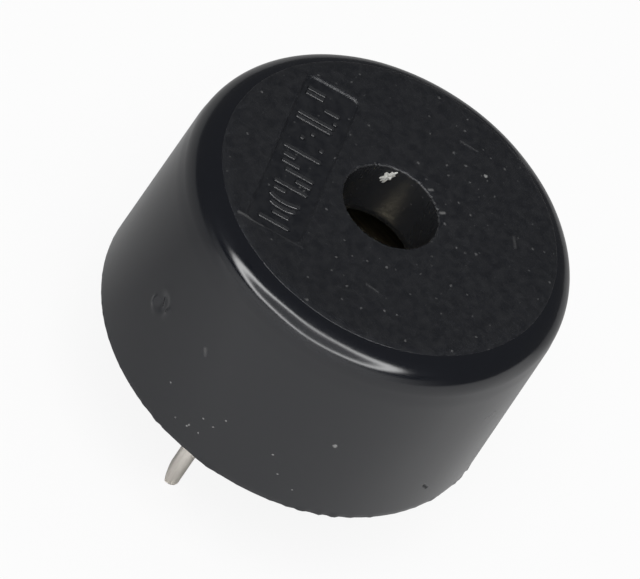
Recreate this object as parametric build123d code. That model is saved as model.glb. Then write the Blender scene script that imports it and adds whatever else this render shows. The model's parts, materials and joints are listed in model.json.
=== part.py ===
"""A piezo buzzer: a moulded cup with a resonator port, a piezo diaphragm, a base plate and two pins.

Millimetres. The origin is the centre of the seating plane, which is the underside of the base
plate. +Z points up through the sound port, and the two pins stand on the Y axis, pointing down.
"""
from math import cos, pi, radians, sin, sqrt, tan
import os

from build123d import *

# Case, outside
case_base_diameter = 13.8
case_height = 7.5
case_draft = 1.3
top_edge_radius = 1.15

# Case, inside
rim_wall = 0.8
pocket_step = 0.2
ledge_width = 0.5
ledge_height = 3.0
top_wall = 1.0

# Sound port
port_diameter = 3.32
port_neck_depth = 2.4
port_neck_wall = 0.75
port_lip_radius = 0.08

# Marking panel, a shallow rounded recess in the top
panel_direction = 201.8
panel_width = 2.0
panel_corner_radius = 0.35
panel_depth = 0.08
panel_port_gap = 0.53
panel_edge_margin = 0.2

# Diaphragm
plate_thickness = 0.2
plate_clearance = 0.1
adhesive_overlap = 0.7
adhesive_height = 0.5
ceramic_margin = 0.8
ceramic_thickness = 0.2
electrode_margin = 0.2
electrode_thickness = 0.03

# Base plate and its seal
base_plate_thickness = 1.2
base_plate_clearance = 0.05
base_flange_thickness = 0.5
seal_groove_width = 0.3
seal_recess = 0.06

# Pins: a thin shank below the seating plane, a thicker root in the base plate
pin_diameter = 0.6
pin_pitch = 7.6
pin_length_below = 4.65
pin_length_above = 0.45
pin_root_step = 0.2
pin_collar_width = 0.2
pin_collar_thickness = 0.3
pin_tip_length = 0.72
pin_tip_cut = 0.25

# Wires and solder
wire_diameter = 0.15
wire_arc_share = 0.45
pin_solder_width = 0.42
pin_solder_height = 0.6
disc_solder_radius = 0.33
disc_solder_height = 0.3
electrode_joint_x = 0.9
electrode_joint_y = -1.2
plate_joint_angle = 50.0

# Radii and heights that follow
case_base_radius = case_base_diameter / 2
case_top_radius = case_base_radius - case_height * tan(radians(case_draft))
top_flat_radius = case_top_radius - top_edge_radius
pocket_radius = case_base_radius - rim_wall
chamber_radius = pocket_radius - pocket_step
resonator_radius = chamber_radius - ledge_width
cavity_top = case_height - top_wall
port_radius = port_diameter / 2
pin_radius = pin_diameter / 2
pin_offset = pin_pitch / 2
pin_root_radius = pin_radius + pin_root_step
pin_solder_radius = pin_root_radius + pin_solder_width
plate_radius = chamber_radius - plate_clearance
plate_underside = ledge_height - plate_thickness
adhesive_inner_radius = plate_radius - adhesive_overlap
ceramic_radius = adhesive_inner_radius - ceramic_margin
ceramic_underside = plate_underside - ceramic_thickness
electrode_radius = ceramic_radius - electrode_margin
electrode_underside = ceramic_underside - electrode_thickness
base_flange_radius = pocket_radius - base_plate_clearance
base_skirt_radius = pocket_radius - seal_groove_width
base_skirt_height = base_plate_thickness - base_flange_thickness
plate_joint_radius = (ceramic_radius + adhesive_inner_radius) / 2
plate_joint_x = plate_joint_radius * cos(radians(plate_joint_angle))
plate_joint_y = plate_joint_radius * sin(radians(plate_joint_angle))


def turned(points):
    """Revolve a closed outline of (radius, height) points round Z."""
    outline = Plane.XZ * make_face(Polyline(*points, close=True))
    return revolve(outline, Axis.Z)


def disc(radius, bottom, top):
    """A plain disc between two heights."""
    return Pos(0, 0, bottom) * extrude(Circle(radius), top - bottom)


def solder_cap(radius, height):
    """A round cap with its flat face on Z = 0 and its top on Z = height."""
    sphere_radius = (radius**2 + height**2) / (2 * height)
    sphere_centre = height - sphere_radius
    reach = sphere_radius * sin(radians(30))
    lift = sphere_centre + sphere_radius * cos(radians(30))
    base = Line((0, 0), (radius, 0))
    crown = ThreePointArc((radius, 0), (reach, lift), (0, height))
    axis_edge = Line((0, height), (0, 0))
    return revolve(Plane.XZ * make_face(base + crown + axis_edge), Axis.Z)


def wire_along(points):
    """A round wire on straight runs joined by arcs that are as large as their runs allow."""
    vectors = [Vector(*point) for point in points]
    runs = [after - before for before, after in zip(vectors, vectors[1:])]
    radii = []
    for run_in, run_out in zip(runs, runs[1:]):
        half_turn_angle = radians(run_in.get_angle(run_out)) / 2
        shorter = min(run_in.length, run_out.length)
        radii.append(wire_arc_share * shorter / tan(half_turn_angle))
    path = FilletPolyline(*points, radius=radii)
    section = Plane(origin=path @ 0, z_dir=path % 0) * Circle(wire_diameter / 2)
    wire = sweep(section, path)
    expected = pi * (wire_diameter / 2) ** 2 * path.length
    print(f"wire: length {path.length:.2f}, radii {[round(r, 2) for r in radii]}")
    print(f"wire: volume {wire.volume:.4f}, section times length {expected:.4f}")
    return wire


def marking_panel():
    """The recess beside the port, as long as the flat top allows at its distance from the axis."""
    panel_offset = port_radius + panel_port_gap + panel_width / 2
    corner_reach = top_flat_radius - panel_edge_margin - panel_corner_radius
    corner_offset = panel_offset + panel_width / 2 - panel_corner_radius
    panel_length = 2 * (sqrt(corner_reach**2 - corner_offset**2) + panel_corner_radius)
    outline = RectangleRounded(panel_width, panel_length, panel_corner_radius)
    cutter = Pos(panel_offset, 0, case_height - panel_depth) * extrude(outline, 2 * panel_depth)
    return Rot(0, 0, panel_direction) * cutter


def make_case():
    """The moulded cup: drafted side, rounded top edge, port neck, ledge and base pocket."""
    body = turned(
        [
            (0, 0),
            (case_base_radius, 0),
            (case_top_radius, case_height),
            (0, case_height),
        ]
    )
    top_edge = body.edges().group_by(Axis.Z)[-1]
    body = fillet(top_edge, top_edge_radius)
    body -= disc(pocket_radius, 0, base_plate_thickness)
    body -= disc(chamber_radius, base_plate_thickness, ledge_height)
    body -= disc(resonator_radius, ledge_height, cavity_top)
    neck_bottom = case_height - port_neck_depth
    body += disc(port_radius + port_neck_wall, neck_bottom, cavity_top)
    body -= disc(port_radius, neck_bottom, case_height)
    rims = body.edges().filter_by(GeomType.CIRCLE)
    rims = rims.filter_by(lambda edge: abs(edge.radius - port_radius) < 1e-6)
    body = fillet(rims.sort_by(Axis.Z)[-1], port_lip_radius)
    return body - marking_panel()


def make_diaphragm_plate():
    """The brass plate, seated up against the ledge."""
    return disc(plate_radius, plate_underside, ledge_height)


def make_ceramic_disc():
    """The piezoceramic disc under the brass plate."""
    return disc(ceramic_radius, ceramic_underside, plate_underside)


def make_silver_electrode():
    """The fired silver face of the ceramic disc."""
    return disc(electrode_radius, electrode_underside, ceramic_underside)


def make_diaphragm_adhesive():
    """The silicone ring in the corner between the plate's rim and the chamber wall."""
    return turned(
        [
            (adhesive_inner_radius, plate_underside),
            (plate_radius, plate_underside),
            (plate_radius, ledge_height),
            (chamber_radius, ledge_height),
            (chamber_radius, plate_underside - adhesive_height),
        ]
    )


def make_pin(side):
    """One round pin with an anchoring collar and a slanted end; side is -1 or +1 along Y."""
    pin = disc(pin_radius, -pin_length_below, 0)
    pin += disc(pin_root_radius, 0, base_plate_thickness + pin_length_above)
    collar_bottom = (base_plate_thickness - pin_collar_thickness) / 2
    collar_top = collar_bottom + pin_collar_thickness
    pin += disc(pin_root_radius + pin_collar_width, collar_bottom, collar_top)
    tip_start = pin_tip_length - pin_length_below
    tip_offcut = make_face(
        Polyline(
            (pin_tip_cut - pin_radius, -pin_length_below),
            (-pin_radius, tip_start),
            (-pin_diameter, tip_start),
            (-pin_diameter, -pin_length_below),
            close=True,
        )
    )
    pin -= extrude(Plane.XZ * tip_offcut, pin_diameter, both=True)
    return Pos(0, side * pin_offset, 0) * pin


def make_base_plate(pins):
    """The plate that closes the cup: a skirt with a flange above it, moulded round the pins."""
    plate = disc(base_skirt_radius, 0, base_plate_thickness)
    plate += disc(base_flange_radius, base_skirt_height, base_plate_thickness)
    for pin in pins:
        plate -= pin
    return plate


def make_base_seal():
    """The epoxy in the groove round the base plate, sunk a little below the seating plane."""
    return turned(
        [
            (base_skirt_radius, seal_recess),
            (pocket_radius, seal_recess),
            (pocket_radius, base_skirt_height),
            (base_skirt_radius, base_skirt_height),
        ]
    )


def make_lead_wires():
    """The wire from pin a to the silver electrode, and the wire from pin b to the brass plate."""
    start_height = base_plate_thickness + pin_length_above / 2
    beside_pin = pin_root_radius + 0.75 * wire_diameter
    rise = electrode_underside - start_height
    wire_a = wire_along(
        [
            (beside_pin, -pin_offset, start_height),
            (beside_pin, 0.3 * electrode_joint_y - 0.7 * pin_offset, start_height + 0.15 * rise),
            (electrode_joint_x, 1.5 * electrode_joint_y, start_height + 0.57 * rise),
            (electrode_joint_x, electrode_joint_y, electrode_underside - disc_solder_height / 2),
        ]
    )
    wire_b = wire_along(
        [
            (0, pin_offset - beside_pin, start_height),
            (0.3 * plate_joint_x, pin_offset - 1.4 * beside_pin, start_height + 0.15 * rise),
            (0.75 * plate_joint_x, 0.94 * plate_joint_y, start_height + 0.57 * rise),
            (plate_joint_x, plate_joint_y, plate_underside - disc_solder_height / 2),
        ]
    )
    return wire_a, wire_b


def make_pin_solder(side, pin, wire):
    """The solder round the top of one pin, holding the end of its wire."""
    cap = Pos(0, side * pin_offset, base_plate_thickness) * solder_cap(
        pin_solder_radius, pin_solder_height
    )
    return cap - pin - wire


def make_disc_solder(x, y, height, wire):
    """A solder joint hanging under the diaphragm at a given height."""
    cap = Pos(x, y, height) * Rot(180, 0, 0) * solder_cap(disc_solder_radius, disc_solder_height)
    return cap - wire


def make_parts():
    """Every node of the buzzer, by name."""
    pin_a = make_pin(-1)
    pin_b = make_pin(1)
    wire_a, wire_b = make_lead_wires()
    return {
        "case": make_case(),
        "diaphragm_plate": make_diaphragm_plate(),
        "ceramic_disc": make_ceramic_disc(),
        "silver_electrode": make_silver_electrode(),
        "diaphragm_adhesive": make_diaphragm_adhesive(),
        "base_plate": make_base_plate([pin_a, pin_b]),
        "base_seal": make_base_seal(),
        "pin_a": pin_a,
        "pin_b": pin_b,
        "lead_wire_a": wire_a,
        "lead_wire_b": wire_b,
        "solder_pin_a": make_pin_solder(-1, pin_a, wire_a),
        "solder_pin_b": make_pin_solder(1, pin_b, wire_b),
        "solder_electrode": make_disc_solder(
            electrode_joint_x, electrode_joint_y, electrode_underside, wire_a
        ),
        "solder_plate": make_disc_solder(
            plate_joint_x, plate_joint_y, plate_underside, wire_b
        ),
    }


os.makedirs("parts", exist_ok=True)
for name, solid in make_parts().items():
    export_step(solid, f"parts/{name}.step")
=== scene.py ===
"""The finished look of a piezo buzzer: black moulded case, sound port, tinned pins, soft studio."""

import json
import logging
import math
from dataclasses import dataclass, field
from enum import Enum

import bpy
import numpy as np
from mathutils import Matrix, Vector


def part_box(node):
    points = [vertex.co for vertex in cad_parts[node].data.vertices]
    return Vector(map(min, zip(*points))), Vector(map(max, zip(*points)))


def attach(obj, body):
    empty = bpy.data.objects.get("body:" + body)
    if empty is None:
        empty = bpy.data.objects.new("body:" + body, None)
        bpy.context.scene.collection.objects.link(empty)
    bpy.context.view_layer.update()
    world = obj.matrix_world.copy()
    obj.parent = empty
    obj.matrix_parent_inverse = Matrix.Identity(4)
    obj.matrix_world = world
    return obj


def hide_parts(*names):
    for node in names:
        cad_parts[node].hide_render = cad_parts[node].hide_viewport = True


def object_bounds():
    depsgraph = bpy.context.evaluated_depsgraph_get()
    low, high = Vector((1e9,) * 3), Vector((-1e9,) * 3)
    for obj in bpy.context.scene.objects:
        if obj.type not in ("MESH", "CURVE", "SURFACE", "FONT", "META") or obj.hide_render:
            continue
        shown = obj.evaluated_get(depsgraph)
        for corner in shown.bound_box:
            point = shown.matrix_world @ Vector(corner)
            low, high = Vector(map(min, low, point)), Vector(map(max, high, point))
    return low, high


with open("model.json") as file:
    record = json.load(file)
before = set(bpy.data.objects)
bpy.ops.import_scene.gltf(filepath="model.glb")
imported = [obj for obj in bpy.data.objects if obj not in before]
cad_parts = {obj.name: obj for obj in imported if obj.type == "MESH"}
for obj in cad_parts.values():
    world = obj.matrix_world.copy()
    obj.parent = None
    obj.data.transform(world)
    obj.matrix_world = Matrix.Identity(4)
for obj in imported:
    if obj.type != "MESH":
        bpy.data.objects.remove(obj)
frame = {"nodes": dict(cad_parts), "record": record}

CAD_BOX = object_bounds()
MM = 0.001
ROOT = "root"
log = logging.getLogger("buzzer")


class Slot(Enum):
    """The record's material slots."""

    CASE = "case_plastic"
    BASE = "base_plastic"
    RESIN = "sealing_resin"
    PIN = "tinned_pin"
    BRASS = "diaphragm_brass"
    CERAMIC = "piezoceramic"
    SILVER = "fired_silver"
    SILICONE = "silicone"
    SOLDER = "solder"
    WIRE = "wire_enamel"


# ---------------------------------------------------------------- surfaces


def smooth(value: np.ndarray, low: float, high: float) -> np.ndarray:
    """A smooth step: 0 below low, 1 above high, and 3t^2 - 2t^3 between them.

    Args:
        value: The numbers to step.
        low: Where the step starts.
        high: Where the step ends.

    Returns:
        The step at each value.
    """
    t = np.clip((value - low) / (high - low), 0.0, 1.0)
    return t * t * (3.0 - 2.0 * t)


def ripple(angle: np.ndarray, waves: range, seed: int) -> np.ndarray:
    """An uneven ripple that closes on itself: a sum of sines of whole wave counts, random phases.

    Args:
        angle: Angles in radians.
        waves: The whole numbers of waves in a turn.
        seed: The seed of the phases.

    Returns:
        The ripple at each angle, with a spread of about one.
    """
    rng = np.random.default_rng(seed)
    counts = np.array(list(waves), float)
    phases = rng.uniform(0, 2 * math.pi, len(counts))
    heights = rng.normal(0, 1, len(counts))
    total = np.sin(angle[..., None] * counts + phases) @ heights
    return total / math.sqrt(len(counts) / 2)


@dataclass
class Surface:
    """A grid of points in millimetres whose columns close on themselves.

    Fields:
        points: Rows by columns by three.
        wrap_rows: The last row joins the first, as on a ring.
        cap_ends: A centre point closes the first and the last row.
        values: Named numbers, one for each point.
    """

    points: np.ndarray
    wrap_rows: bool = False
    cap_ends: bool = False
    values: dict[str, np.ndarray] = field(default_factory=dict)

    def quads(self) -> np.ndarray:
        """The grid's faces: each joins a point to the next row and the next column."""
        rows, columns = self.points.shape[:2]
        last = rows if self.wrap_rows else rows - 1
        row, column = np.meshgrid(np.arange(last), np.arange(columns), indexing="ij")
        row_next = (row + 1) % rows
        column_next = (column + 1) % columns
        corners = [
            row * columns + column,
            row * columns + column_next,
            row_next * columns + column_next,
            row_next * columns + column,
        ]
        return np.stack(corners, axis=-1).reshape(-1, 4)

    def caps(self) -> tuple[np.ndarray, np.ndarray]:
        """The centre points of both end rows, and the triangles that fan out from them."""
        rows, columns = self.points.shape[:2]
        centres = np.stack([self.points[0].mean(axis=0), self.points[-1].mean(axis=0)])
        around = np.arange(columns)
        following = (around + 1) % columns
        first = np.full(columns, rows * columns)
        start = np.stack([following, around, first], axis=-1)
        offset = (rows - 1) * columns
        end = np.stack([offset + around, offset + following, first + 1], axis=-1)
        return centres, np.concatenate([start, end])


def mesh_object(name: str, surfaces: list[Surface], sharp_degrees: float = 42.0) -> bpy.types.Object:
    """Joins surfaces into one mesh, in metres, with its faces turned outwards.

    The enclosed volume is the sum of p0 . (p1 x p2) / 6 over the triangles, and where it comes out
    negative the faces of that surface are reversed.

    Args:
        name: The object's name.
        surfaces: The grids that make up the piece.
        sharp_degrees: Edges that turn more than this stay sharp.

    Returns:
        The new object, at the origin.
    """
    points, corners, sizes, values = [], [], [], {}
    base = 0
    for surface in surfaces:
        flat = surface.points.reshape(-1, 3)
        quads = surface.quads()
        fans = np.zeros((0, 3), int)
        if surface.cap_ends:
            centres, fans = surface.caps()
            flat = np.concatenate([flat, centres])
        halves = np.concatenate([quads[:, [0, 1, 2]], quads[:, [0, 2, 3]], fans])
        p0, p1, p2 = (flat[halves[:, i]] for i in range(3))
        if np.einsum("ij,ij->", p0, np.cross(p1, p2)) < 0:
            quads, fans = quads[:, ::-1], fans[:, ::-1]
        corners += [(quads + base).ravel(), (fans + base).ravel()]
        sizes += [np.full(len(quads), 4), np.full(len(fans), 3)]
        for key, value in surface.values.items():
            padded = np.zeros(len(flat), np.float32)
            padded[: value.size] = value.ravel()
            values.setdefault(key, []).append((base, padded))
        points.append(flat)
        base += len(flat)
    every_point = np.concatenate(points) * MM
    every_corner = np.concatenate(corners)
    every_size = np.concatenate(sizes)
    mesh = bpy.data.meshes.new(name)
    mesh.vertices.add(len(every_point))
    mesh.vertices.foreach_set("co", every_point.astype(np.float32).ravel())
    mesh.loops.add(len(every_corner))
    mesh.loops.foreach_set("vertex_index", every_corner.astype(np.int32))
    mesh.polygons.add(len(every_size))
    starts = np.concatenate([[0], np.cumsum(every_size)[:-1]])
    mesh.polygons.foreach_set("loop_start", starts.astype(np.int32))
    for key, parts in values.items():
        whole = np.zeros(base, np.float32)
        for start, part in parts:
            whole[start : start + len(part)] = part
        mesh.attributes.new(key, "FLOAT", "POINT").data.foreach_set("value", whole)
    mesh.update(calc_edges=True)
    mesh.validate()
    mesh.shade_smooth()
    mesh.set_sharp_from_angle(angle=math.radians(sharp_degrees))
    made = bpy.data.objects.new(name, mesh)
    bpy.context.scene.collection.objects.link(made)
    return made


def revolve(profile: np.ndarray, angles: np.ndarray) -> np.ndarray:
    """Carries a profile round Z: x = r cos a, y = r sin a, z stays.

    Args:
        profile: Rows of radius and height.
        angles: The column angles in radians.

    Returns:
        Points, rows by columns by three.
    """
    radius, height = profile[:, :1], profile[:, 1:]
    around = np.ones_like(angles)[None, :]
    return np.stack([radius * np.cos(angles), radius * np.sin(angles), height * around], axis=-1)


def adopt(piece: bpy.types.Object, slot: Slot, material: bpy.types.Material, *nodes: str) -> None:
    """Dresses a piece, lets it ride with the case and hides the parts that it stands for.

    Args:
        piece: The new object.
        slot: The record's slot.
        material: Its finish.
        nodes: The nodes that it replaces.
    """
    piece.data.materials.append(material)
    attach(piece, ROOT)
    if nodes:
        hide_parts(*nodes)
    log.info("%s: %d faces, %s", piece.name, len(piece.data.polygons), slot.value)


# ---------------------------------------------------------------- shader graphs


class Graph:
    """A node tree that is written one call a node."""

    def __init__(self, tree: bpy.types.NodeTree) -> None:
        """Keeps the tree that the nodes go into."""
        self.tree = tree

    def add(self, kind: str, inputs: dict | None = None, **settings: object) -> bpy.types.Node:
        """Adds a node, sets its properties, and links or sets its inputs.

        Args:
            kind: The node's type name.
            inputs: Input name or index to a socket or a plain value.
            settings: Properties of the node.

        Returns:
            The node.
        """
        node = self.tree.nodes.new(kind)
        for key, value in settings.items():
            setattr(node, key, value)
        for key, value in (inputs or {}).items():
            if isinstance(value, bpy.types.NodeSocket):
                self.tree.links.new(value, node.inputs[key])
            else:
                node.inputs[key].default_value = value
        return node

    def math(self, operation: str, *values: object, clamp: bool = False) -> bpy.types.NodeSocket:
        """A Math node on up to three values; returns its output."""
        inputs = dict(enumerate(values))
        node = self.add("ShaderNodeMath", inputs, operation=operation, use_clamp=clamp)
        return node.outputs[0]

    def vector(self, operation: str, *values: object, result: str = "Vector") -> bpy.types.NodeSocket:
        """A Vector Math node on up to two vectors; returns the named output."""
        node = self.add("ShaderNodeVectorMath", dict(enumerate(values)), operation=operation)
        return node.outputs[result]

    def scaled(self, vector: object, factor: object) -> bpy.types.NodeSocket:
        """A vector times a number."""
        node = self.add("ShaderNodeVectorMath", {0: vector, "Scale": factor}, operation="SCALE")
        return node.outputs["Vector"]

    def remap(self, value: object, low: float, high: float, to_low: float = 0.0, to_high: float = 1.0) -> bpy.types.NodeSocket:
        """A clamped Map Range; returns its result."""
        inputs = {"Value": value, "From Min": low, "From Max": high, "To Min": to_low, "To Max": to_high}
        return self.add("ShaderNodeMapRange", inputs, clamp=True).outputs["Result"]

    def mix(self, factor: object, first: object, second: object) -> bpy.types.NodeSocket:
        """A colour mix; returns the mixed colour."""
        node = self.add("ShaderNodeMix", data_type="RGBA")
        for index, value in ((0, factor), (6, first), (7, second)):
            if isinstance(value, bpy.types.NodeSocket):
                self.tree.links.new(value, node.inputs[index])
            else:
                node.inputs[index].default_value = value
        return node.outputs[2]

    def grey(self, value: bpy.types.NodeSocket) -> bpy.types.NodeSocket:
        """A number as a grey colour."""
        return self.add("ShaderNodeCombineColor", {0: value, 1: value, 2: value}).outputs["Color"]

    def group(self, tree: bpy.types.NodeTree, **inputs: object) -> bpy.types.Node:
        """Places a node group; input names are given with underscores for spaces."""
        named = {key.replace("_", " "): value for key, value in inputs.items()}
        return self.add("ShaderNodeGroup", node_tree=tree) if not named else self._filled(tree, named)

    def _filled(self, tree: bpy.types.NodeTree, named: dict) -> bpy.types.Node:
        """A placed group with its inputs linked or set."""
        node = self.add("ShaderNodeGroup", node_tree=tree)
        for key, value in named.items():
            if isinstance(value, bpy.types.NodeSocket):
                self.tree.links.new(value, node.inputs[key])
            else:
                node.inputs[key].default_value = value
        return node


def new_group(name: str, inputs: dict[str, str], outputs: list[str]) -> tuple[Graph, bpy.types.Node, bpy.types.Node]:
    """Starts a shader node group with named sockets.

    Args:
        name: The group's name.
        inputs: Input name to socket kind, Float or Vector.
        outputs: The names of its number outputs.

    Returns:
        Its graph, its input node and its output node.
    """
    tree = bpy.data.node_groups.new(name, "ShaderNodeTree")
    for key, kind in inputs.items():
        tree.interface.new_socket(key, in_out="INPUT", socket_type=f"NodeSocket{kind}")
    for key in outputs:
        tree.interface.new_socket(key, in_out="OUTPUT", socket_type="NodeSocketFloat")
    graph = Graph(tree)
    return graph, graph.add("NodeGroupInput"), graph.add("NodeGroupOutput")


class Effects:
    """The node groups that several finishes share. Their vectors are in millimetres."""

    def __init__(self) -> None:
        """Builds each group once."""
        self.grain = self._grain()
        self.specks = self._specks()
        self.stroke = self._stroke()
        self.clouds = self._clouds()

    @staticmethod
    def _grain() -> bpy.types.NodeTree:
        """Eroded mould texture: fine noise less the dips round scattered cells."""
        graph, ins, outs = new_group("mould_grain", {"Vector": "Vector", "Scale": "Float"}, ["Height"])
        noise = graph.add(
            "ShaderNodeTexNoise",
            {"Vector": ins.outputs["Vector"], "Scale": ins.outputs["Scale"], "Detail": 3.0, "Roughness": 0.6},
        )
        cells = graph.add(
            "ShaderNodeTexVoronoi", {"Vector": ins.outputs["Vector"], "Scale": ins.outputs["Scale"]}
        )
        height = graph.math("MULTIPLY_ADD", cells.outputs["Distance"], 0.5, noise.outputs[0])
        graph.tree.links.new(height, outs.inputs["Height"])
        return graph.tree

    @staticmethod
    def _specks() -> bpy.types.NodeTree:
        """Scattered specks: a cell holds one if its random number is under Share, its size is random."""
        sockets = {"Vector": "Vector", "Scale": "Float", "Share": "Float", "Size": "Float"}
        graph, ins, outs = new_group("scattered_specks", sockets, ["Mask"])
        bent = graph.add(
            "ShaderNodeTexNoise", {"Vector": ins.outputs["Vector"], "Scale": 15.0, "Detail": 1.0}
        )
        shifted = graph.vector("ADD", ins.outputs["Vector"], graph.scaled(bent.outputs["Color"], 0.09))
        cells = graph.add("ShaderNodeTexVoronoi", {"Vector": shifted, "Scale": ins.outputs["Scale"]})
        random = graph.add("ShaderNodeSeparateColor", {"Color": cells.outputs["Color"]})
        held = graph.math("LESS_THAN", random.outputs[0], ins.outputs["Share"])
        reach = graph.math("MULTIPLY", ins.outputs["Size"], graph.math("ADD", random.outputs[1], 0.35))
        inside = graph.math("SUBTRACT", 1.0, graph.math("DIVIDE", cells.outputs["Distance"], reach), clamp=True)
        solid = graph.remap(inside, 0.0, 0.5)
        graph.tree.links.new(graph.math("MULTIPLY", held, solid), outs.inputs["Mask"])
        return graph.tree

    @staticmethod
    def _stroke() -> bpy.types.NodeTree:
        """A stroke: 1 on the line from Start to End, 0 at a distance of Width from it."""
        sockets = {"Vector": "Vector", "Start": "Vector", "End": "Vector", "Width": "Float"}
        graph, ins, outs = new_group("short_stroke", sockets, ["Mask"])
        along = graph.vector("SUBTRACT", ins.outputs["End"], ins.outputs["Start"])
        offset = graph.vector("SUBTRACT", ins.outputs["Vector"], ins.outputs["Start"])
        ratio = graph.math(
            "DIVIDE",
            graph.vector("DOT_PRODUCT", offset, along, result="Value"),
            graph.vector("DOT_PRODUCT", along, along, result="Value"),
            clamp=True,
        )
        away = graph.vector("SUBTRACT", offset, graph.scaled(along, ratio))
        distance = graph.vector("LENGTH", away, result="Value")
        mask = graph.math("SUBTRACT", 1.0, graph.math("DIVIDE", distance, ins.outputs["Width"]), clamp=True)
        graph.tree.links.new(mask, outs.inputs["Mask"])
        return graph.tree

    @staticmethod
    def _clouds() -> bpy.types.NodeTree:
        """Soft uneven patches, such as handling marks or tarnish."""
        graph, ins, outs = new_group("soft_patches", {"Vector": "Vector", "Scale": "Float"}, ["Mask"])
        noise = graph.add(
            "ShaderNodeTexNoise",
            {"Vector": ins.outputs["Vector"], "Scale": ins.outputs["Scale"], "Detail": 4.0, "Distortion": 0.6},
        )
        graph.tree.links.new(graph.remap(noise.outputs[0], 0.35, 0.68), outs.inputs["Mask"])
        return graph.tree


def new_material(name: str) -> tuple[bpy.types.Material, Graph, bpy.types.Node, bpy.types.NodeSocket]:
    """Starts a material on the Principled shader.

    Args:
        name: The material's name.

    Returns:
        The material, its graph, its shader node, and the object coordinates in millimetres.
    """
    material = bpy.data.materials.new(name)
    material.use_nodes = True
    graph = Graph(material.node_tree)
    shader = material.node_tree.nodes["Principled BSDF"]
    place = graph.add("ShaderNodeTexCoord").outputs["Object"]
    return material, graph, shader, graph.scaled(place, 1 / MM)


# ---------------------------------------------------------------- finishes


@dataclass(frozen=True)
class Mark:
    """A stroke between two points in millimetres: a scratch, nick or scuff, and on some strokes a painted highlight;
    lift is its bump, pale its dust and painted highlight.
    """

    start: tuple[float, float, float]
    end: tuple[float, float, float]
    width: float
    lift: float
    pale: float


@dataclass(frozen=True)
class MouldedPlastic:
    """Black moulded plastic: polished sides, eroded texture on the top, dust and handling marks, with painted
    highlights on ridge crests and on some strokes, and painted light in the port.
    """

    name: str
    colour: tuple[float, float, float, float] = (0.0068, 0.0078, 0.0110, 1.0)
    # The colour of dust specks, also used for painted highlights and painted light.
    dust_and_sheen_colour: tuple[float, float, float, float] = (0.55, 0.55, 0.54, 1.0)
    gloss_roughness: float = 0.13
    grain_roughness: float = 0.42
    panel_roughness: float = 0.3
    grain_scale: float = 9.0
    speck_share: float = 0.1
    smudge_level: float = 0.016
    speck_level: float = 0.13
    # How far the sheen mask lifts the colour: painted highlights on ridge crests and painted light on the port's bore
    # wall.
    painted_sheen_level: float = 0.032
    marks: tuple[Mark, ...] = ()

    def build(self, effects: Effects) -> bpy.types.Material:
        """Builds the material.

        Args:
            effects: The shared node groups.

        Returns:
            The material.
        """
        material, graph, shader, place = new_material(self.name)
        texture = graph.add("ShaderNodeAttribute", attribute_name="textured").outputs["Fac"]
        panel = graph.add("ShaderNodeAttribute", attribute_name="panel").outputs["Fac"]
        grain = graph.group(effects.grain, Vector=place, Scale=self.grain_scale).outputs["Height"]
        clouds = graph.group(effects.clouds, Vector=place, Scale=0.35).outputs["Mask"]
        smudges = graph.group(effects.clouds, Vector=place, Scale=3.2).outputs["Mask"]
        fine = graph.group(effects.specks, Vector=place, Scale=3.4, Share=0.5, Size=0.17).outputs["Mask"]
        large = graph.group(
            effects.specks, Vector=place, Scale=0.95, Share=self.speck_share, Size=0.07
        ).outputs["Mask"]
        faint = graph.math("MULTIPLY", smudges, self.smudge_level)
        faint = graph.math("MULTIPLY_ADD", fine, self.speck_level, faint)
        pale = graph.math("MULTIPLY_ADD", large, 0.45, graph.math("MULTIPLY", faint, texture), clamp=True)
        # This mask adds painted light: a painted highlight on the crests of the panel's ridges and painted light on the
        # port's bore wall.
        worn = graph.add("ShaderNodeAttribute", attribute_name="worn").outputs["Fac"]
        pale = graph.math("MULTIPLY_ADD", worn, self.painted_sheen_level, pale)
        lift = graph.math("MULTIPLY", grain, graph.math("MULTIPLY_ADD", texture, 0.97, 0.03))
        lift = graph.math("MULTIPLY", lift, graph.math("MULTIPLY_ADD", panel, -0.75, 1.0))
        for mark in self.marks:
            mask = graph.group(
                effects.stroke, Vector=place, Start=mark.start, End=mark.end, Width=mark.width
            ).outputs["Mask"]
            lift = graph.math("MULTIPLY_ADD", mask, mark.lift, lift)
            pale = graph.math("MULTIPLY_ADD", mask, mark.pale, pale)
        rough = graph.remap(texture, 0.0, 1.0, self.gloss_roughness, self.grain_roughness)
        rough = graph.math(
            "MULTIPLY_ADD", panel, self.panel_roughness - self.grain_roughness, rough
        )
        rough = graph.math("MULTIPLY_ADD", clouds, 0.05, rough)
        rough = graph.math("MULTIPLY_ADD", graph.math("ABSOLUTE", pale), 0.4, rough, clamp=True)
        bump = graph.add("ShaderNodeBump", {"Height": lift, "Strength": 0.6, "Distance": 0.024 * MM})
        links = graph.tree.links
        links.new(graph.mix(graph.math("MAXIMUM", pale, 0.0), self.colour, self.dust_and_sheen_colour), shader.inputs["Base Color"])
        links.new(rough, shader.inputs["Roughness"])
        links.new(bump.outputs["Normal"], shader.inputs["Normal"])
        shader.inputs["IOR"].default_value = 1.55
        return material


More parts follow.
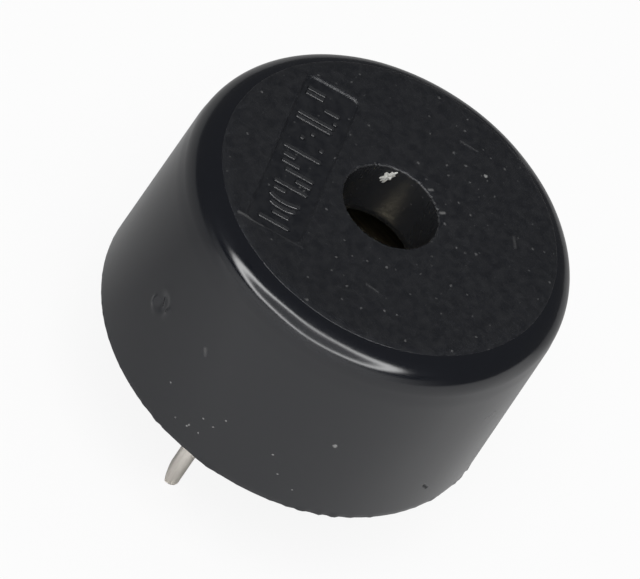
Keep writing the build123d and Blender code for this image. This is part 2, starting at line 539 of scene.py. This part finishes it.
@dataclass(frozen=True)
class Mottled:
    """A plain finish of two tones in soft patches, with a fine bump."""

    name: str
    colour: tuple[float, float, float, float]
    shade: tuple[float, float, float, float]
    roughness: float
    metallic: float = 0.0
    patch_scale: float = 1.2
    grain_scale: float = 14.0
    grain_depth: float = 0.01
    stretch: tuple[float, float, float] = (1.0, 1.0, 1.0)
    transmission: float = 0.0

    def build(self, effects: Effects) -> bpy.types.Material:
        """Builds the material.

        Args:
            effects: The shared node groups.

        Returns:
            The material.
        """
        material, graph, shader, place = new_material(self.name)
        drawn = graph.vector("MULTIPLY", place, self.stretch)
        patches = graph.group(effects.clouds, Vector=drawn, Scale=self.patch_scale).outputs["Mask"]
        grain = graph.group(effects.grain, Vector=drawn, Scale=self.grain_scale).outputs["Height"]
        rough = graph.math("MULTIPLY_ADD", patches, 0.16, self.roughness)
        rough = graph.math("MULTIPLY_ADD", grain, 0.08, rough, clamp=True)
        bump = graph.add(
            "ShaderNodeBump", {"Height": grain, "Strength": 0.6, "Distance": self.grain_depth * MM}
        )
        links = graph.tree.links
        links.new(graph.mix(patches, self.colour, self.shade), shader.inputs["Base Color"])
        links.new(rough, shader.inputs["Roughness"])
        links.new(bump.outputs["Normal"], shader.inputs["Normal"])
        shader.inputs["Metallic"].default_value = self.metallic
        shader.inputs["Transmission Weight"].default_value = self.transmission
        return material


# ---------------------------------------------------------------- the pieces


@dataclass
class MouldedCase:
    """The case: a ring-shaped skin that runs up the port, over the top, down the side and inside.

    Lengths are in millimetres and angles in degrees.
    """

    draft: float = 1.3
    edge_radius: float = 1.15
    flash_reach: float = 0.05
    flash_direction: float = 330.0
    port_lip: float = 0.08
    ring_radius: float = 5.87
    ring_step: float = 0.018
    panel_direction: float = 201.8
    panel_half_width: float = 1.0
    panel_half_length: float = 3.6
    panel_centre: float = 3.19
    panel_corner: float = 0.35
    panel_depth: float = 0.08
    panel_bevel: float = 0.08
    gate_direction: float = 245.1
    gate_height: float = 3.4
    dense_from: float = 140.0
    dense_to: float = 262.0
    dense_step: float = 0.4
    wide_step: float = 1.2

    def __post_init__(self) -> None:
        """Reads the outer size from the case's box and the port from its mount."""
        low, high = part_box("case")
        self.base_radius = high.x / MM
        self.height = high.z / MM
        mounts = {mount["name"]: mount for mount in frame["record"]["mounts"]}
        self.port_radius = mounts["sound_port"]["dims"]["r_mm"]
        self.neck_depth = mounts["sound_port"]["dims"]["length_mm"]

    def side_radius(self, height: np.ndarray) -> np.ndarray:
        """The drafted side: the base radius, less the height times the draft's tangent."""
        return self.base_radius - self.flash_reach * 0.4 - height * math.tan(math.radians(self.draft))

    def angles(self) -> np.ndarray:
        """Column angles in radians, close together where the panel and the gate mark are."""
        dense = np.arange(self.dense_from, self.dense_to, self.dense_step)
        wide = np.arange(self.dense_to, self.dense_from + 360.0, self.wide_step)
        return np.radians(np.concatenate([dense, wide]))

    def profile(self) -> tuple[np.ndarray, np.ndarray]:
        """The section, as rows of radius and height, and how far each row is textured.

        The lip and the top edge are arcs: radius = centre + R sin a, height = centre + R cos a.

        Returns:
            The rows, and 1 for each textured row or 0 for a smooth one.
        """
        port, lip, top = self.port_radius, self.port_lip, self.height
        neck_bottom = top - self.neck_depth
        bore = [(port, z) for z in np.linspace(neck_bottom + 0.06, top - lip, 9)]
        turn = np.radians([-70, -50, -30, -12])
        lips = [(port + lip + lip * math.sin(a), top - lip + lip * math.cos(a)) for a in turn]
        flat_radius = self.side_radius(top) - self.edge_radius
        flat = [(r, top) for r in (port + lip, 1.85, 1.98)]
        flat += [(r, top) for r in np.arange(2.08, 5.46, 0.05)]
        flat += [(r, top) for r in (5.5, flat_radius)]
        edge_centre = top - self.edge_radius
        sweep = [3.0, 6.0, 9.0, 11.0, 12.5, 13.4, 14.0, 14.6, 15.2, 15.8, 16.8, 18.5]
        sweep += list(np.arange(21.5, 88.0, 3.0)) + [90.0 - self.draft]
        edge = [
            (
                flat_radius + self.edge_radius * math.sin(math.radians(a)),
                edge_centre + self.edge_radius * math.cos(math.radians(a)),
            )
            for a in sweep
        ]
        heights = list(np.arange(6.1, 4.1, -0.3)) + list(np.arange(4.0, 2.35, -0.1))
        heights += list(np.arange(2.1, 0.5, -0.3)) + [0.42, 0.32, 0.24, 0.17, 0.11, 0.06, 0.03]
        side = [(float(self.side_radius(z)), z) for z in heights]
        foot = float(self.side_radius(0.0))
        rim = [(foot - 0.01, 0.006), (foot - 0.06, 0.0), (6.5, 0.0), (6.13, 0.0), (6.1, 0.03)]
        inside = [(6.1, 0.5), (6.1, 1.2), (5.9, 1.2), (5.9, 2.1), (5.9, 3.0), (5.4, 3.0)]
        inside += [(5.4, 4.7), (5.4, 6.4), (5.3, 6.5), (3.9, 6.5), (2.5, 6.5), (2.41, 6.4)]
        inside += [(2.41, neck_bottom + 0.04), (2.37, neck_bottom), (port + 0.04, neck_bottom)]
        rows = bore + lips + flat + edge + side + rim + inside
        top_start = len(bore)
        ring_row = len(bore) + len(lips) + len(flat) + 8
        textured = np.zeros(len(rows))
        textured[: len(bore)] = 0.35
        textured[top_start:ring_row] = 1.0
        return np.array(rows), textured

    def panel_distance(self, x: np.ndarray, y: np.ndarray) -> np.ndarray:
        """How far a point lies outside the panel's outline; it is negative inside.

        A rounded rectangle: the length of what is past the corner's centre, less the corner radius.

        Args:
            x: Across, in the case's frame.
            y: Along, in the case's frame.

        Returns:
            The signed distance at each point.
        """
        turn = math.radians(self.panel_direction)
        out = x * math.cos(turn) + y * math.sin(turn) - self.panel_centre
        along = y * math.cos(turn) - x * math.sin(turn)
        past_out = np.abs(out) - (self.panel_half_width - self.panel_corner)
        past_along = np.abs(along) - (self.panel_half_length - self.panel_corner)
        outside = np.hypot(np.maximum(past_out, 0), np.maximum(past_along, 0))
        return outside + np.minimum(np.maximum(past_out, past_along), 0) - self.panel_corner

    def gate_relief(self, angles: np.ndarray, height: np.ndarray) -> np.ndarray:
        """The torn gate mark: a broken raised rim round a shallow pit.

        With q the distance from its middle in half-widths, the rim is a bell round q = 0.8 and the
        pit a smooth step inside it.

        Args:
            angles: The angle of each point.
            height: The height of each point.

        Returns:
            How far each point moves outwards.
        """
        across = (angles - math.radians(self.gate_direction)) * self.base_radius
        up = height - self.gate_height
        q = np.hypot(across / 0.5, up / 0.66)
        turn = np.arctan2(up, across)
        rim = np.exp(-(((q - 0.8) / 0.17) ** 2)) * (0.55 + 0.45 * np.sin(turn * 2.0 + 0.6))
        pit = 1.0 - smooth(q, 0.25, 0.75)
        lump = np.exp(-((q / 0.3) ** 2)) * np.sin(across * 11.0 + up * 6.0)
        torn = np.clip(0.35 + 0.65 * np.sin(turn * 3.0 + 2.1) + 0.3 * np.sin(turn * 7.0), 0.1, 1.0)
        return 0.1 * rim * torn - 0.05 * pit + 0.06 * lump

    def surface(self) -> Surface:
        """The whole skin, with the panel, ring step, gate mark and flash worked into it."""
        rows, textured = self.profile()
        angles = self.angles()
        points = revolve(rows, angles)
        radius = np.repeat(rows[:, :1], len(angles), axis=1)
        height = points[..., 2]
        around = np.repeat(angles[None, :], len(rows), axis=0)
        outside = height > 2.0
        sunk = smooth(-self.panel_distance(points[..., 0], points[..., 1]), 0.0, self.panel_bevel)
        sunk *= (height > self.height - 0.02) & (radius > self.port_radius + 0.2)
        wander = 0.02 * ripple(angles, range(3, 34), 5)
        ring = smooth(radius + 1.6 * wander, self.ring_radius - 0.08, self.ring_radius + 0.08)
        ring *= 0.55 + 0.45 * np.clip(ripple(angles, range(1, 22), 6), -1.0, 1.2)
        ring *= 1.0 - smooth(self.height - height, 0.2, 0.7)
        ring *= height > self.height - 0.8
        points[..., 2] -= self.panel_depth * sunk + self.ring_step * ring
        burr = np.maximum(ripple(angles, range(9, 90), 11), -0.6) * 0.014
        at_lip = (radius < self.port_radius + self.port_lip) & (height > self.height - 0.15)
        flash = np.maximum(ripple(angles, range(7, 120), 3), 0.0)
        at_foot = (1.0 - smooth(height, 0.03, 0.2)) * (radius > self.base_radius - 0.15)
        push = self.gate_relief(around, height) * outside * (radius > 6.6)
        torn = 0.2 + 0.8 * np.clip(np.cos(around - math.radians(self.flash_direction)) * 2.0, 0.0, 1.0)
        at_foot = at_foot * torn
        push = push + at_lip * burr + at_foot * self.flash_reach * 0.5 * (flash - 0.7)
        reach = np.minimum(radius + push, self.base_radius)
        points[..., 0] = reach * np.cos(around)
        points[..., 1] = reach * np.sin(around)
        texture = np.repeat(textured[:, None], len(angles), axis=1)
        # Painted light: the port's bore wall above 4 mm gets a paler colour in place of the light that reaches into the
        # port.
        painted_bore_light = ((radius < self.port_radius + 0.02) & (height > 4.0)).astype(float)
        values = {"textured": texture, "panel": sunk, "worn": painted_bore_light}
        return Surface(points, wrap_rows=True, values=values)

    def build(self, material: bpy.types.Material) -> bpy.types.Object:
        """Makes the case and dresses it."""
        piece = mesh_object("moulded_case", [self.surface()])
        adopt(piece, Slot.CASE, material, "case")
        return piece


@dataclass
class PanelMarks:
    """Raised ridges on the panel's floor: bars, arcs and dots in no readable order.

    Each bar is (along, across, length), each arc (along, across, radius, from, to), each dot
    (along, across). Along runs from the panel's middle to the end nearest pin_a.
    """

    case: MouldedCase
    width: float = 0.19
    height: float = 0.074
    bars: tuple[tuple[float, float, float], ...] = (
        (-3.04, 0.46, 0.7),
        (-2.82, 0.46, 0.7),
        (-2.46, -0.28, 0.62),
        (-1.86, 0.12, 1.4),
        (-1.64, 0.12, 1.4),
        (-0.2, 0.08, 1.45),
        (0.16, 0.44, 0.5),
        (0.46, 0.3, 0.72),
        (0.76, -0.1, 1.1),
        (1.06, -0.34, 0.62),
        (1.42, 0.0, 1.3),
        (1.72, 0.3, 0.5),
        (2.74, -0.05, 0.66),
        (3.16, 0.06, 1.2),
    )
    arcs: tuple[tuple[float, float, float, float, float], ...] = (
        (1.02, 0.0, 1.15, 330.0, 390.0),
        (1.4, 0.0, 1.05, 332.0, 386.0),
    )
    dots: tuple[tuple[float, float], ...] = ((-2.1, -0.5), (-1.2, 0.02), (-0.86, 0.3), (-0.7, -0.44))

    def ridge(self, along: np.ndarray, across: np.ndarray) -> Surface:
        """A rounded ridge along a line on the panel's floor, closed at both ends.

        Its section is half a superellipse: across = w cos t, up = h sin t ^ 0.8; at the ends both
        shrink as a quarter circle.

        Args:
            along: The line's places along the panel.
            across: The line's places across it.

        Returns:
            The ridge.
        """
        turn = math.radians(self.case.panel_direction)
        steps = np.hypot(np.gradient(along), np.gradient(across))
        run = np.concatenate([[0.0], np.cumsum(steps[:-1])])
        edge = np.minimum(run, run[-1] - run) / (self.width / 2)
        size = np.sqrt(np.clip(1.0 - (1.0 - np.clip(edge, 0.0, 1.0)) ** 2, 0.0004, 1.0))
        slope_a, slope_c = np.gradient(along) / steps, np.gradient(across) / steps
        section = np.linspace(0.0, 2 * math.pi, 14, endpoint=False)
        wide = np.cos(section) * self.width / 2
        up = np.where(np.sin(section) > 0, np.abs(np.sin(section)) ** 0.8 * self.height, -0.02)
        a = along[:, None] - slope_c[:, None] * wide * size[:, None]
        c = across[:, None] + slope_a[:, None] * wide * size[:, None]
        floor = self.case.height - self.case.panel_depth
        z = floor + np.where(up > 0, up * size[:, None] ** 0.6, up)
        out = self.case.panel_centre + c
        x = out * math.cos(turn) - a * math.sin(turn)
        y = out * math.sin(turn) + a * math.cos(turn)
        ones = np.ones_like(x)
        # Painted highlight: the ridge's crest is paler, standing in for the light on its top.
        crest = np.clip((z - floor) / self.height, 0.0, 1.0)
        values = {"textured": 0.3 * ones, "panel": ones, "worn": crest}
        return Surface(np.stack([x, y, z], axis=-1), cap_ends=True, values=values)

    def build(self, material: bpy.types.Material) -> bpy.types.Object:
        """Makes every ridge and joins them into one piece."""
        ridges = []
        for along, across, length in self.bars:
            line = np.linspace(-length / 2, length / 2, 16)
            ridges.append(self.ridge(along + 0.0 * line, across + line))
        for along, across, radius, start, end in self.arcs:
            turn = np.radians(np.linspace(start, end, 20))
            ridges.append(self.ridge(along + radius * np.cos(turn), across + radius * np.sin(turn)))
        for along, across in self.dots:
            line = np.linspace(-0.1, 0.1, 8)
            ridges.append(self.ridge(along + 0.0 * line, across + line))
        piece = mesh_object("panel_marks", ridges)
        adopt(piece, Slot.CASE, material)
        return piece


@dataclass
class TinnedPin:
    """A round pin whose end was cut on a slant. Lengths are in millimetres."""

    node: str
    cut_length: float = 0.72
    cut_depth: float = 0.25
    end_round: float = 0.05
    columns: int = 72

    def __post_init__(self) -> None:
        """Reads the shank's radius from its mount, and its place from the node's box."""
        low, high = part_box(self.node)
        mounts = {mount["name"]: mount for mount in frame["record"]["mounts"]}
        self.radius = mounts[f"{self.node}_shank"]["dims"]["r_mm"]
        self.centre_x = (low.x + high.x) / 2 / MM
        self.centre_y = (low.y + high.y) / 2 / MM
        self.bottom = low.z / MM
        self.top = high.z / MM
        self.root_radius = self.radius + 0.2

    def end_height(self, x: np.ndarray) -> np.ndarray:
        """The height of the cut end: a slanted plane where it is above the square end."""
        past = (self.cut_depth - self.radius) - x
        slant = self.bottom + past * self.cut_length / self.cut_depth
        gap = slant - self.bottom
        return self.bottom + 0.5 * (gap + np.sqrt(gap**2 + 0.0009)) - 0.0009

    def surface(self) -> Surface:
        """The pin: a profile carried down the axis, with drawn lines, then the cut end's rings.

        A row's height runs from the top to the cut end's height under each column, and the end's
        rings shrink to the middle on the same slanted surface.
        """
        angles = np.linspace(0.0, 2 * math.pi, self.columns, endpoint=False)
        lines = 0.004 * ripple(angles, range(3, 16), 21)
        rows = []
        for radius, z in ((self.root_radius - 0.04, self.top), (self.root_radius, self.top - 0.04)):
            rows.append((np.full_like(angles, radius), np.full_like(angles, z)))
        rows.append((np.full_like(angles, self.root_radius), np.zeros_like(angles)))
        shank = self.radius - 0.006 + lines
        for share in np.concatenate([[0.0, 0.01], np.linspace(0.04, 0.985, 44)]):
            foot = self.end_height(shank * np.cos(angles))
            dent = 0.012 * np.exp(-(((share - 0.62) / 0.05) ** 2)) * (np.cos(angles - 4.2) > 0.3)
            rows.append((shank - dent, foot * share))
        for inset in (0.25, 1.0):
            radius = shank - self.end_round * inset
            foot = self.end_height(radius * np.cos(angles)) + self.end_round * (1 - inset) * 0.5
            rows.append((radius, foot))
        for share in (0.7, 0.4, 0.15):
            radius = (self.radius - self.end_round) * share + 0 * angles
            rows.append((radius, self.end_height(radius * np.cos(angles))))
        radius = np.stack([row[0] for row in rows])
        height = np.stack([np.maximum(row[1], self.bottom) for row in rows])
        x = self.centre_x + radius * np.cos(angles)
        y = self.centre_y + radius * np.sin(angles)
        return Surface(np.stack([x, y, height], axis=-1), cap_ends=True)

    def build(self, material: bpy.types.Material) -> bpy.types.Object:
        """Makes the pin and dresses it."""
        piece = mesh_object(f"tinned_{self.node}", [self.surface()])
        adopt(piece, Slot.PIN, material, self.node)
        return piece


@dataclass
class PortSwarf:
    """A pale torn flake that clings to the port's wall just under its lip."""

    case: MouldedCase
    direction: float = 126.5
    depth: float = 0.42
    half_width: float = 0.17
    half_height: float = 0.3
    thickness: float = 0.05

    def surface(self) -> Surface:
        """A closed flat drop on the wall: reach q(t) is an uneven outline round its middle."""
        outline = np.linspace(0.0, 2 * math.pi, 48, endpoint=False)
        reach = np.clip(1.0 + 0.2 * ripple(outline, range(3, 10), 12), 0.55, 1.25)
        shells = np.radians([8.0, 30.0, 55.0, 78.0, 90.0, 102.0, 125.0, 150.0, 172.0])
        spread = np.sin(shells)[:, None] * reach[None, :]
        across = spread * self.half_width * np.cos(outline)
        up = spread * self.half_height * np.sin(outline)
        lean = across + 0.35 * up
        inward = self.thickness * (1.0 + 0.25 * ripple(outline, range(3, 9), 4)) * 0.5
        stand = 0.02 + inward[None, :] * (1.0 + np.cos(shells)[:, None])
        radius = self.case.port_radius - stand
        angle = math.radians(self.direction) - lean / self.case.port_radius
        x, y = radius * np.cos(angle), radius * np.sin(angle)
        return Surface(np.stack([x, y, self.case.height - self.depth + up], axis=-1), cap_ends=True)

    def build(self, material: bpy.types.Material) -> bpy.types.Object:
        """Makes the flake and dresses it."""
        piece = mesh_object("port_swarf", [self.surface()])
        piece.data.materials.append(material)
        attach(piece, ROOT)
        log.info("%s: %d faces", piece.name, len(piece.data.polygons))
        return piece


# ---------------------------------------------------------------- the studio


@dataclass
class Studio:
    """Camera, floor and lights. Directions are azimuth and elevation in degrees, as seen from the part."""

    azimuth: float = 13.8
    elevation: float = 44.1
    roll: float = 34.5
    distance: float = 269.2
    lens: float = 466.3
    aim: tuple[float, float, float] = (-0.676, 1.207, 1.376)
    floor_half: float = 500.0
    floor_gap: float = 0.02
    # The floor's grey at the back as reflections see it: painted shade.
    floor_reflected_shade_level: float = 0.45
    floor_white_share: float = 0.9
    # The turn of that painted shade's gradient, in degrees from the camera.
    reflected_shade_turn: float = 32.0
    dome_radius: float = 440.0
    ring_radius: float = 400.0
    ring_glow: float = 10.0
    ambient: float = 0.45
    key_watts: float = 1.0
    port_lamp_watts: float = 0.00002
    port_lamp_lean: float = 16.0
    port_lamp_reach: float = 1.1

    @staticmethod
    def direction(azimuth: float, elevation: float) -> Vector:
        """The unit vector towards an azimuth and an elevation."""
        a, e = math.radians(azimuth), math.radians(elevation)
        return Vector((math.sin(a) * math.cos(e), -math.cos(a) * math.cos(e), math.sin(e)))

    def camera(self) -> None:
        """A long lens that looks down on the part, rolled about its own axis."""
        data = bpy.data.cameras.new("camera")
        data.lens = self.lens
        data.sensor_width = 36.0
        data.clip_start = 0.001
        data.clip_end = 10.0
        made = bpy.data.objects.new("camera", data)
        bpy.context.scene.collection.objects.link(made)
        back = self.direction(self.azimuth, self.elevation)
        turn = back.to_track_quat("Z", "Y") @ Matrix.Rotation(math.radians(self.roll), 4, "Z").to_quaternion()
        made.rotation_euler = turn.to_euler()
        made.location = (Vector(self.aim) + back * self.distance) * MM
        bpy.context.scene.camera = made

    def floor(self) -> None:
        """A pale matt sheet at the tips of the pins; it can be seen through from below. In reflections it carries
        painted shade, greyer towards the back.
        """
        half, low = self.floor_half * MM, CAD_BOX[0][2] - self.floor_gap * MM
        corners = [(-half, -half, low), (half, -half, low), (half, half, low), (-half, half, low)]
        mesh = bpy.data.meshes.new("floor")
        mesh.from_pydata(corners, [], [(0, 1, 2, 3)])
        made = bpy.data.objects.new("floor", mesh)
        bpy.context.scene.collection.objects.link(made)
        material = bpy.data.materials.new("pale_sheet")
        material.use_nodes = True
        graph = Graph(material.node_tree)
        graph.tree.nodes.remove(graph.tree.nodes["Principled BSDF"])
        path = graph.add("ShaderNodeLightPath")
        spot = graph.vector("SUBTRACT", graph.add("ShaderNodeTexCoord").outputs["Object"], (0.0, 0.0, 0.0))
        # Painted shade: glossy rays see the floor darken towards the back and one side, down to the reflected-shade
        # level.
        back = graph.vector("DOT_PRODUCT", spot, tuple(-self.direction(self.azimuth + self.reflected_shade_turn, 0.0)), result="Value")
        reflected_shade = graph.remap(back, -10.0 * MM, 4.0 * MM, 0.92, self.floor_reflected_shade_level)
        level = graph.mix(path.outputs["Is Glossy Ray"], (0.86, 0.86, 0.86, 1.0), graph.grey(reflected_shade))
        sheet = graph.add("ShaderNodeBsdfDiffuse", {"Color": level})
        lift = graph.add("ShaderNodeEmission", {"Strength": 1.0})
        share = graph.math("MULTIPLY", path.outputs["Is Camera Ray"], self.floor_white_share)
        both = graph.add("ShaderNodeMixShader", {0: share, 1: sheet.outputs[0], 2: lift.outputs[0]})
        under = graph.add("ShaderNodeNewGeometry").outputs["Backfacing"]
        clear = graph.add("ShaderNodeBsdfTransparent")
        side = graph.add("ShaderNodeMixShader", {0: under, 1: both.outputs[0], 2: clear.outputs[0]})
        out = graph.tree.nodes["Material Output"]
        graph.tree.links.new(side.outputs[0], out.inputs["Surface"])
        mesh.materials.append(material)

    def world(self) -> None:
        """White behind everything that the eye, mirrors and glass see, and a plain level for the rest."""
        world = bpy.data.worlds.new("studio")
        bpy.context.scene.world = world
        world.use_nodes = True
        graph = Graph(world.node_tree)
        path = graph.add("ShaderNodeLightPath")
        seen = graph.math("ADD", path.outputs["Is Camera Ray"], path.outputs["Is Glossy Ray"], clamp=True)
        seen = graph.math("ADD", seen, path.outputs["Is Transmission Ray"], clamp=True)
        graph.tree.nodes["Background"].inputs["Color"].default_value = (1.0, 1.0, 1.0, 1.0)
        level = graph.remap(seen, 0.0, 1.0, self.ambient, 1.0)
        graph.tree.links.new(level, graph.tree.nodes["Background"].inputs["Strength"])

    def sky_patch(self, name: str, radius: float, glow: object, azimuths: np.ndarray, elevations: np.ndarray, diffuse: bool) -> None:
        """A piece of sphere round the part that glows inwards, seen only in reflections.

        Args:
            name: The object's name.
            radius: The sphere's radius.
            glow: A function of azimuth and elevation arrays that gives the glow.
            azimuths: The azimuths of the patch's columns, in degrees.
            elevations: The elevations of its rows, in degrees.
            diffuse: Whether it lights matt surfaces too.
        """
        azimuth, elevation = np.meshgrid(azimuths, elevations)
        a, e = np.radians(azimuth), np.radians(elevation)
        points = np.stack([np.sin(a) * np.cos(e), -np.cos(a) * np.cos(e), np.sin(e)], axis=-1) * radius * MM
        rows, columns = azimuth.shape
        index = np.arange(rows * columns).reshape(rows, columns)
        faces = np.stack(
            [index[:-1, :-1], index[1:, :-1], index[1:, 1:], index[:-1, 1:]], axis=-1
        ).reshape(-1, 4)
        mesh = bpy.data.meshes.new(name)
        mesh.from_pydata(points.reshape(-1, 3).tolist(), [], faces.tolist())
        level = glow(azimuth, elevation).astype(np.float32).ravel()
        mesh.attributes.new("glow", "FLOAT", "POINT").data.foreach_set("value", level)
        material = bpy.data.materials.new(name)
        material.use_nodes = True
        graph = Graph(material.node_tree)
        graph.tree.nodes.remove(graph.tree.nodes["Principled BSDF"])
        strength = graph.add("ShaderNodeAttribute", attribute_name="glow").outputs["Fac"]
        shine = graph.add("ShaderNodeEmission", {"Strength": strength})
        graph.tree.links.new(shine.outputs[0], graph.tree.nodes["Material Output"].inputs["Surface"])
        mesh.materials.append(material)
        made = bpy.data.objects.new(name, mesh)
        bpy.context.scene.collection.objects.link(made)
        made.visible_camera = False
        made.visible_shadow = False
        made.visible_transmission = False
        made.visible_diffuse = diffuse

    def ring_light(self) -> None:
        """A wide ring softbox round the camera: q is the distance from its middle in half-sizes."""

        def glow(azimuth: np.ndarray, elevation: np.ndarray) -> np.ndarray:
            q = np.hypot((azimuth - self.azimuth) / 62.0, (elevation - 39.5) / 19.5)
            ring = smooth(q, 0.62, 0.8) * (1.0 - smooth(q, 0.86, 1.0))
            inner = 1.0 - smooth(q, 0.6, 0.8)
            return self.ring_glow * ring + 0.7 * inner

        azimuths = np.linspace(self.azimuth - 64.0, self.azimuth + 64.0, 129)
        self.sky_patch("ring_softbox", self.ring_radius, glow, azimuths, np.linspace(18.0, 61.0, 87), False)

    def dark_tent(self) -> None:
        """A dim tent over the set, paler near the floor in front."""

        def glow(azimuth: np.ndarray, elevation: np.ndarray) -> np.ndarray:
            away = np.abs((azimuth - self.azimuth + 180.0) % 360.0 - 180.0)
            front = (1.0 - smooth(away, 35.0, 80.0)) * (1.0 - smooth(elevation, 14.0, 22.0))
            return 0.1 + 0.85 * front

        azimuths = np.linspace(0.0, 360.0, 121)
        self.sky_patch("dark_tent", self.dome_radius, glow, azimuths, np.linspace(-1.0, 90.0, 61), False)

    def lamp(self, name: str, azimuth: float, elevation: float, distance: float, size: float, watts: float) -> bpy.types.Object:
        """An area lamp that looks at the part and lights matt surfaces only.

        Args:
            name: The lamp's name.
            azimuth: Where it stands.
            elevation: How high it stands.
            distance: How far away, in millimetres.
            size: Its width, in millimetres.
            watts: Its power.

        Returns:
            The lamp.
        """
        data = bpy.data.lights.new(name, "AREA")
        data.shape = "DISK"
        data.size = size * MM
        data.energy = watts
        made = bpy.data.objects.new(name, data)
        bpy.context.scene.collection.objects.link(made)
        back = self.direction(azimuth, elevation)
        made.location = back * distance * MM
        made.rotation_euler = back.to_track_quat("Z", "Y").to_euler()
        made.visible_camera = False
        made.visible_glossy = False
        return made

    def build(self) -> None:
        """Sets up the whole studio."""
        self.camera()
        self.floor()
        self.world()
        self.ring_light()
        self.dark_tent()
        self.lamp("key", self.azimuth, 62.0, 420.0, 260.0, self.key_watts)
        beam = self.lamp("port_lamp", self.azimuth + 180.0, 90.0 - self.port_lamp_lean, 30.0, 1.0, self.port_lamp_watts)
        beam.data.shape = "RECTANGLE"
        beam.data.size_y = 1.8 * MM
        beam.data.spread = math.radians(1.6)
        beam.visible_glossy = True
        beam.location += (self.direction(self.azimuth, 0.0) * self.port_lamp_reach + Vector((0, 0, 3))) * MM
        bpy.context.scene.view_settings.view_transform = "Standard"


# ---------------------------------------------------------------- putting it together


CASE_MARKS = (
    Mark((-0.7, -6.75, 3.85), (-0.58, -6.72, 3.65), 0.1, 0.8, 0.12),
    Mark((6.75, -0.5, 4.58), (6.74, -0.8, 4.45), 0.09, 0.9, 0.3),
    Mark((6.57, -1.93, 1.42), (6.64, -1.7, 1.2), 0.09, -2.5, -1.6),
    Mark((1.6, -3.3, 7.5), (2.0, -3.2, 7.5), 0.07, 0.8, 0.06),
    Mark((3.2, 2.9, 7.5), (3.5, 2.6, 7.5), 0.08, 0.8, 0.06),
    Mark((-0.4, 4.4, 7.5), (0.2, 4.6, 7.5), 0.06, 0.8, 0.06),
    # Painted highlight: two pale strokes along the panel's near-end bevel, brightest at its left end, with a slight
    # bump.
    Mark((-2.75, -4.95, 7.46), (-1.95, -4.65, 7.46), 0.09, 0.4, 0.16),
    Mark((-1.95, -4.65, 7.46), (-0.6, -4.15, 7.46), 0.06, 0.4, 0.07),
    # Burr strokes on the far port rim: raised in the bump, and their paleness is a painted glint.
    Mark((0.29, 1.75, 7.5), (0.36, 1.86, 7.5), 0.07, 1.0, 0.2),
    Mark((1.14, 1.36, 7.5), (1.2, 1.47, 7.5), 0.08, 1.0, 0.25),
)



def dust_marks(count: int = 11, seed: int = 8) -> tuple[Mark, ...]:
    """Seeded specks of dust, low on the side nearest the eye.

    Args:
        count: How many specks.
        seed: The seed of their places.

    Returns:
        One tiny mark for each speck.
    """
    rng = np.random.default_rng(seed)
    turns = np.radians(rng.uniform(-104.0, -54.0, count))
    heights = rng.uniform(0.5, 2.3, count)
    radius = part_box("case")[1].x / MM - 0.02 - 0.0227 * heights
    starts = np.stack([radius * np.cos(turns), radius * np.sin(turns), heights], axis=-1)
    ends = starts + rng.uniform(-0.03, 0.03, (count, 3))
    widths = rng.uniform(0.03, 0.055, count)
    return tuple(
        Mark(tuple(start), tuple(end), float(width), 0.5, 0.6)
        for start, end, width in zip(starts.tolist(), ends.tolist(), widths)
    )


HIDDEN_FINISHES: dict[str, tuple[Slot, Mottled]] = {
    "diaphragm_plate": (
        Slot.BRASS,
        Mottled("rolled_brass", (0.56, 0.5, 0.35, 1), (0.45, 0.4, 0.28, 1), 0.5, 1.0, stretch=(1, 6, 1)),
    ),
    "ceramic_disc": (
        Slot.CERAMIC,
        Mottled("fired_ceramic", (0.62, 0.56, 0.44, 1), (0.55, 0.49, 0.38, 1), 0.6),
    ),
    "silver_electrode": (
        Slot.SILVER,
        Mottled("fired_silver", (0.82, 0.81, 0.78, 1), (0.7, 0.69, 0.65, 1), 0.5, 1.0),
    ),
    "diaphragm_adhesive": (
        Slot.SILICONE,
        Mottled("clear_silicone", (0.7, 0.7, 0.68, 1), (0.6, 0.6, 0.58, 1), 0.3, transmission=0.3),
    ),
    "base_plate": (
        Slot.BASE,
        Mottled("moulded_base", (0.012, 0.012, 0.013, 1), (0.018, 0.018, 0.019, 1), 0.38),
    ),
    "base_seal": (
        Slot.RESIN,
        Mottled("cured_resin", (0.02, 0.018, 0.016, 1), (0.03, 0.027, 0.023, 1), 0.12, grain_scale=2.0),
    ),
    "lead_wire_a": (
        Slot.WIRE,
        Mottled("wire_enamel", (0.5, 0.16, 0.05, 1), (0.38, 0.11, 0.04, 1), 0.25, 0.8),
    ),
    "solder_pin_a": (
        Slot.SOLDER,
        Mottled("bright_solder", (0.68, 0.68, 0.67, 1), (0.55, 0.55, 0.54, 1), 0.28, 1.0),
    ),
}
SAME_FINISH = {
    "lead_wire_b": "lead_wire_a",
    "solder_pin_b": "solder_pin_a",
    "solder_electrode": "solder_pin_a",
    "solder_plate": "solder_pin_a",
}


def dress_nodes(effects: Effects) -> None:
    """Gives each CAD node that stays its own finish."""
    made = {node: finish.build(effects) for node, (_, finish) in HIDDEN_FINISHES.items()}
    for node in [*HIDDEN_FINISHES, *SAME_FINISH]:
        model = SAME_FINISH.get(node, node)
        body = frame["nodes"][node]
        body.data.materials.clear()
        body.data.materials.append(made[model])
        log.info("%s keeps its shape, finish %s", node, made[model].name)


def main() -> None:
    """Builds every piece in order, then the studio."""
    logging.basicConfig(level=logging.INFO, format="%(name)s: %(message)s")
    effects = Effects()
    plastic = MouldedPlastic("moulded_black", marks=CASE_MARKS + dust_marks()).build(effects)
    tin = Mottled(
        "dull_tin", (0.97, 0.925, 0.86, 1), (0.8, 0.76, 0.7, 1), 0.34, 1.0, stretch=(3.0, 3.0, 0.35), grain_scale=5.0
    ).build(effects)
    flake = Mottled("torn_flake", (0.85, 0.85, 0.82, 1), (0.7, 0.7, 0.66, 1), 0.6).build(effects)
    case = MouldedCase()
    case.build(plastic)
    PanelMarks(case).build(plastic)
    for node in ("pin_a", "pin_b"):
        TinnedPin(node).build(tin)
    PortSwarf(case).build(flake)
    dress_nodes(effects)
    Studio().build()


if __name__ == "__main__":
    main()
